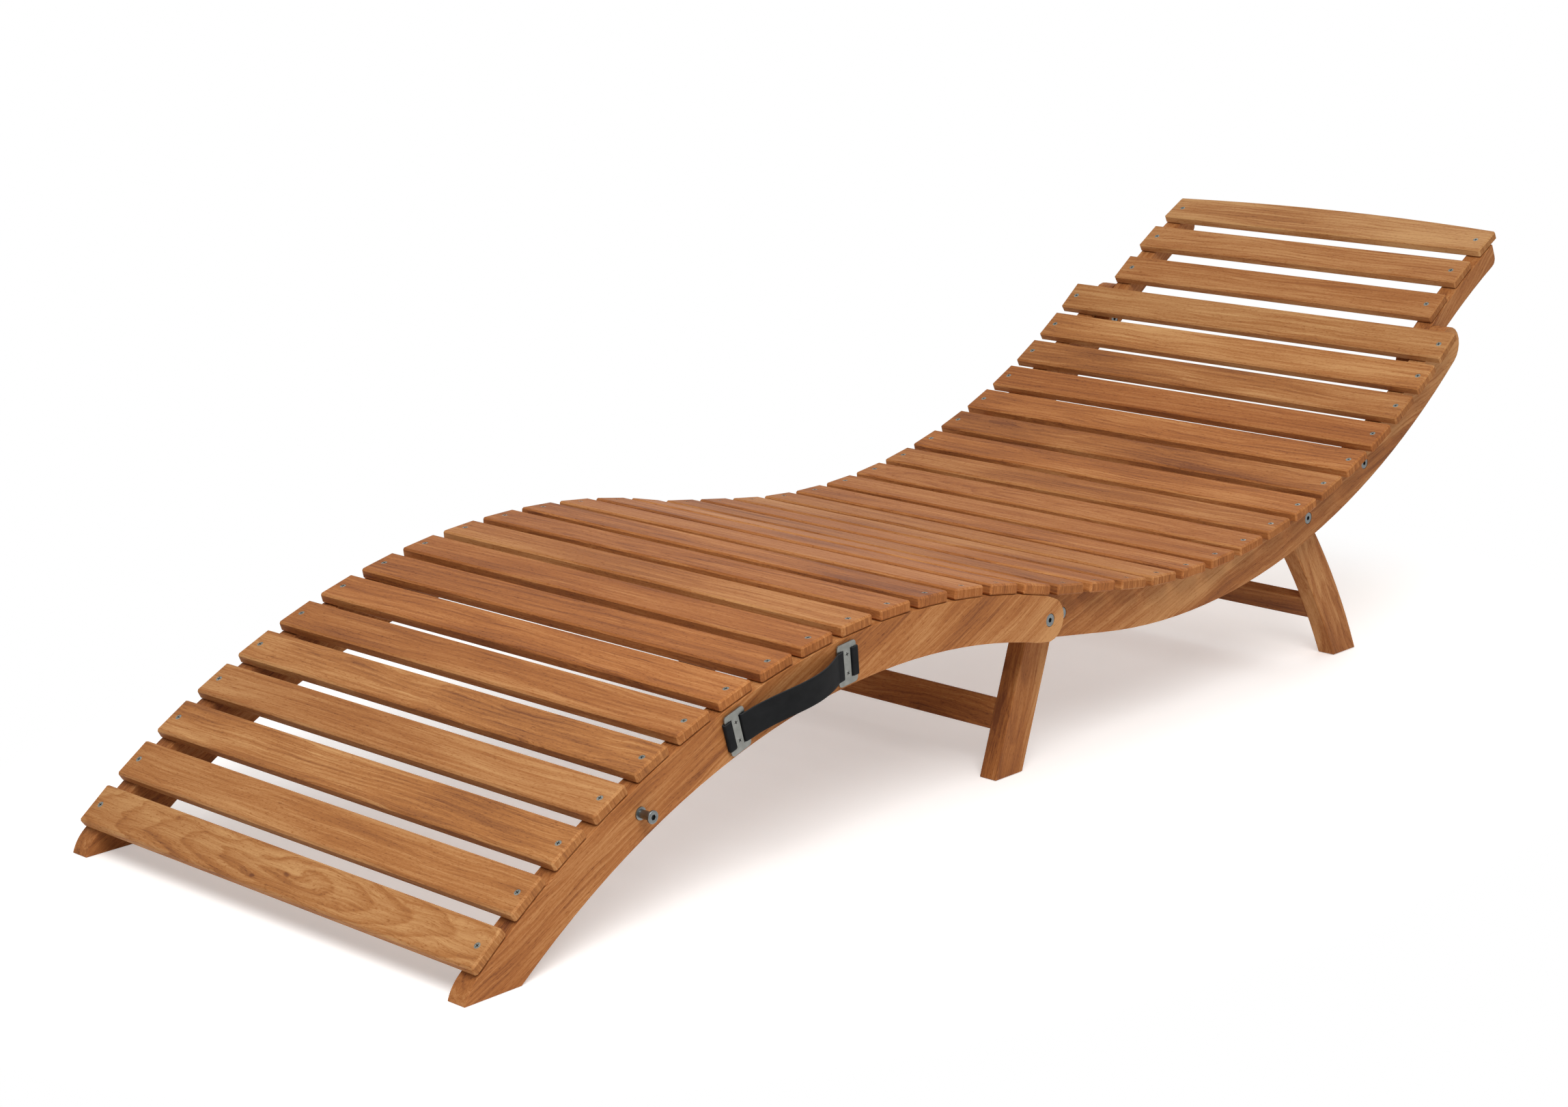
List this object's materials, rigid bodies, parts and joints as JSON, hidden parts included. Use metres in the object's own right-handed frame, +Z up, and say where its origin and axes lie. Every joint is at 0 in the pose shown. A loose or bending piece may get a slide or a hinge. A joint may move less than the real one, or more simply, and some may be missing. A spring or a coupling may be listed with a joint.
{
  "type": "folding sun lounger",
  "caption": "Low folding sun lounger with slats across bent rails: an arched foot, a dished seat and a hinged head rest on two pairs of legs.",
  "frame": {"origin": "middle of the whole lounger's box, at floor level", "axes": "+X from the toe to the head, +Y to the left as seen from the foot end, +Z up"},
  "size_m": [1.863, 0.6106, 0.5058],
  "materials": {
    "slat_wood": "oiled hardwood",
    "rail_wood": "oiled hardwood",
    "zinc": "bright zinc",
    "satin_steel": "satin",
    "webbing": "matte woven"
  },
  "bodies": {
    "seat_frame": {"back_rail_bolt_left": "zinc", "back_rail_bolt_right": "zinc", "head_hinge_bolt_left": "zinc", "head_hinge_bolt_right": "zinc", "knee_hinge_bolt_left": "zinc", "knee_hinge_bolt_right": "zinc", "knee_leg_bolt_left": "zinc", "knee_leg_bolt_right": "zinc", "rear_leg_bolt_left": "zinc", "rear_leg_bolt_right": "zinc", "seat_rail_left": "rail_wood", "seat_rail_right": "rail_wood", "seat_slat_01": "slat_wood", "seat_slat_02": "slat_wood", "seat_slat_03": "slat_wood", "seat_slat_04": "slat_wood", "seat_slat_05": "slat_wood", "seat_slat_06": "slat_wood", "seat_slat_07": "slat_wood", "seat_slat_08": "slat_wood", "seat_slat_09": "slat_wood", "seat_slat_10": "slat_wood", "seat_slat_11": "slat_wood", "seat_slat_12": "slat_wood", "seat_slat_13": "slat_wood", "seat_slat_14": "slat_wood", "seat_slat_15": "slat_wood"},
    "foot_frame": {"carry_strap": "webbing", "foot_rail_left": "rail_wood", "foot_rail_right": "rail_wood", "foot_rail_stud": "zinc", "foot_slat_01": "slat_wood", "foot_slat_02": "slat_wood", "foot_slat_03": "slat_wood", "foot_slat_04": "slat_wood", "foot_slat_05": "slat_wood", "foot_slat_06": "slat_wood", "foot_slat_07": "slat_wood", "foot_slat_08": "slat_wood", "foot_slat_09": "slat_wood", "foot_slat_10": "slat_wood", "foot_slat_11": "slat_wood", "foot_slat_12": "slat_wood", "foot_slat_13": "slat_wood", "foot_slat_14": "slat_wood", "foot_slat_15": "slat_wood", "strap_plate_front": "satin_steel", "strap_plate_rear": "satin_steel"},
    "knee_legs": {"knee_leg_brace": "rail_wood", "knee_leg_left": "rail_wood", "knee_leg_right": "rail_wood"},
    "rear_legs": {"rear_leg_brace": "rail_wood", "rear_leg_left": "rail_wood", "rear_leg_right": "rail_wood"},
    "head_frame": {"head_rail_left": "rail_wood", "head_rail_right": "rail_wood", "head_slat_01": "slat_wood", "head_slat_02": "slat_wood", "head_slat_03": "slat_wood"}
  },
  "joints": [
    {"name": "knee_hinge", "type": "hinge", "parent": "seat_frame", "child": "foot_frame", "pos_m": [-0.08869, 0.0103, 0.1857], "axis": [0, -1, 0], "range_deg": [0, 176]},
    {"name": "knee_leg_hinge", "type": "hinge", "parent": "seat_frame", "child": "knee_legs", "pos_m": [-0.03532, 0.0103, 0.17819], "axis": [0, -1, 0], "range_deg": [0, 100]},
    {"name": "rear_leg_hinge", "type": "hinge", "parent": "seat_frame", "child": "rear_legs", "pos_m": [0.45748, 0.0103, 0.20045], "axis": [0, 1, 0], "range_deg": [0, 115]},
    {"name": "head_hinge", "type": "hinge", "parent": "seat_frame", "child": "head_frame", "pos_m": [0.73606, 0.0103, 0.35432], "axis": [0, 1, 0], "range_deg": [0, 180]}
  ],
  "couplings": [
    {"joint": "knee_leg_hinge", "follows": "knee_hinge", "ratio": 0.568},
    {"joint": "rear_leg_hinge", "follows": "knee_hinge", "ratio": 0.653}
  ]
}
